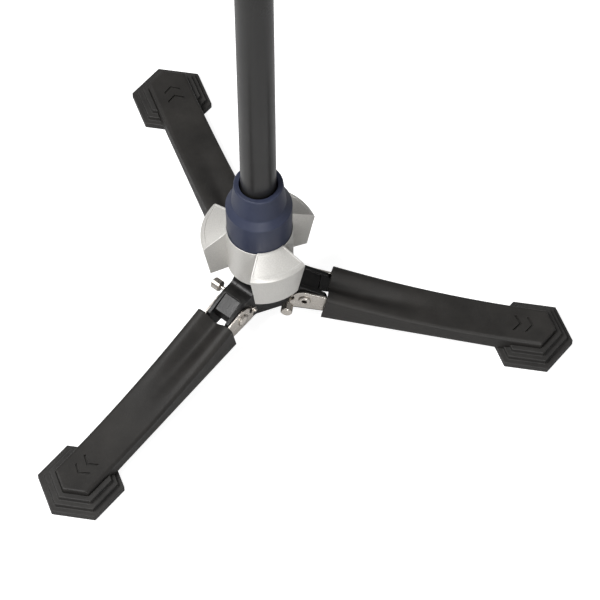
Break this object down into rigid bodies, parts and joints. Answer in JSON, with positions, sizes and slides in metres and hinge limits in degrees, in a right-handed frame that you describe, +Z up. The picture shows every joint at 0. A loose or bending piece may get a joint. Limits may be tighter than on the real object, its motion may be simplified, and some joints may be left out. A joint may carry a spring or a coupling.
{
  "type": "trumpet stand",
  "caption": "Folding tripod stand for a trumpet: upright tube with a velour bell peg, lobed hub, and legs that lock open on push buttons and fold up along the tube.",
  "frame": {"origin": "where the axis of the tube meets the floor", "axes": "+Z up along the tube; +Y towards the foot of the back leg; the other two legs stand 120 degrees to either side"},
  "size_m": [0.254, 0.23, 0.36],
  "materials": {
    "black_casting": "satin black",
    "silver_paint": "fine light silver paint",
    "navy_plastic": "satin",
    "black_tube": "satin powder coat",
    "nickel_steel": "bright nickel plate",
    "zinc_screw": "zinc plate",
    "leg_plastic": "satin moulded black",
    "foot_rubber": "matt black",
    "peg_plastic": "satin moulded black",
    "peg_velour": "short black velour"
  },
  "bodies": {
    "base": {"base_spider": "black_casting", "lobed_hub": "silver_paint", "tube_collar": "navy_plastic", "stand_tube": "black_tube", "base_screw": "zinc_screw", "base_washer": "zinc_screw", "tube_foot_plug": "zinc_screw", "tube_top_plug": "zinc_screw", "peg_core": "peg_plastic", "peg_cover": "peg_velour", "peg_cap": "peg_plastic", "peg_screw": "zinc_screw", "button_spring_back": "zinc_screw", "button_spring_left": "zinc_screw", "button_spring_right": "zinc_screw"},
    "leg_back": {"leg_shell_back": "leg_plastic", "leg_bracket_back": "nickel_steel", "pivot_rivet_back": "nickel_steel", "bracket_screws_back": "zinc_screw", "foot_pad_back": "foot_rubber"},
    "button_back": {"lock_button_back": "nickel_steel", "pin_clip_back": "nickel_steel"},
    "leg_left": {"leg_shell_left": "leg_plastic", "leg_bracket_left": "nickel_steel", "pivot_rivet_left": "nickel_steel", "bracket_screws_left": "zinc_screw", "foot_pad_left": "foot_rubber"},
    "button_left": {"lock_button_left": "nickel_steel", "pin_clip_left": "nickel_steel"},
    "leg_right": {"leg_shell_right": "leg_plastic", "leg_bracket_right": "nickel_steel", "pivot_rivet_right": "nickel_steel", "bracket_screws_right": "zinc_screw", "foot_pad_right": "foot_rubber"},
    "button_right": {"lock_button_right": "nickel_steel", "pin_clip_right": "nickel_steel"}
  },
  "joints": [
    {"name": "leg_fold_back", "type": "hinge", "parent": "base", "child": "leg_back", "pos_m": [0, 0.0218, 0.018], "axis": [1, 0, 0], "range_deg": [0, 96]},
    {"name": "button_press_back", "type": "slide", "parent": "base", "child": "button_back", "axis": [-1, 0, 0], "range_m": [0, 0.0032], "stiffness_N_per_m": 900, "springref_m": -0.001, "deforming": ["button_spring_back"]},
    {"name": "leg_fold_left", "type": "hinge", "parent": "base", "child": "leg_left", "pos_m": [-0.01888, -0.0109, 0.018], "axis": [-0.5, 0.866, 0], "range_deg": [0, 96]},
    {"name": "button_press_left", "type": "slide", "parent": "base", "child": "button_left", "axis": [0.5, -0.866, 0], "range_m": [0, 0.0032], "stiffness_N_per_m": 900, "springref_m": -0.001, "deforming": ["button_spring_left"]},
    {"name": "leg_fold_right", "type": "hinge", "parent": "base", "child": "leg_right", "pos_m": [0.01888, -0.0109, 0.018], "axis": [-0.5, -0.866, 0], "range_deg": [0, 96]},
    {"name": "button_press_right", "type": "slide", "parent": "base", "child": "button_right", "axis": [0.5, 0.866, 0], "range_m": [0, 0.0032], "stiffness_N_per_m": 900, "springref_m": -0.001, "deforming": ["button_spring_right"]}
  ]
}
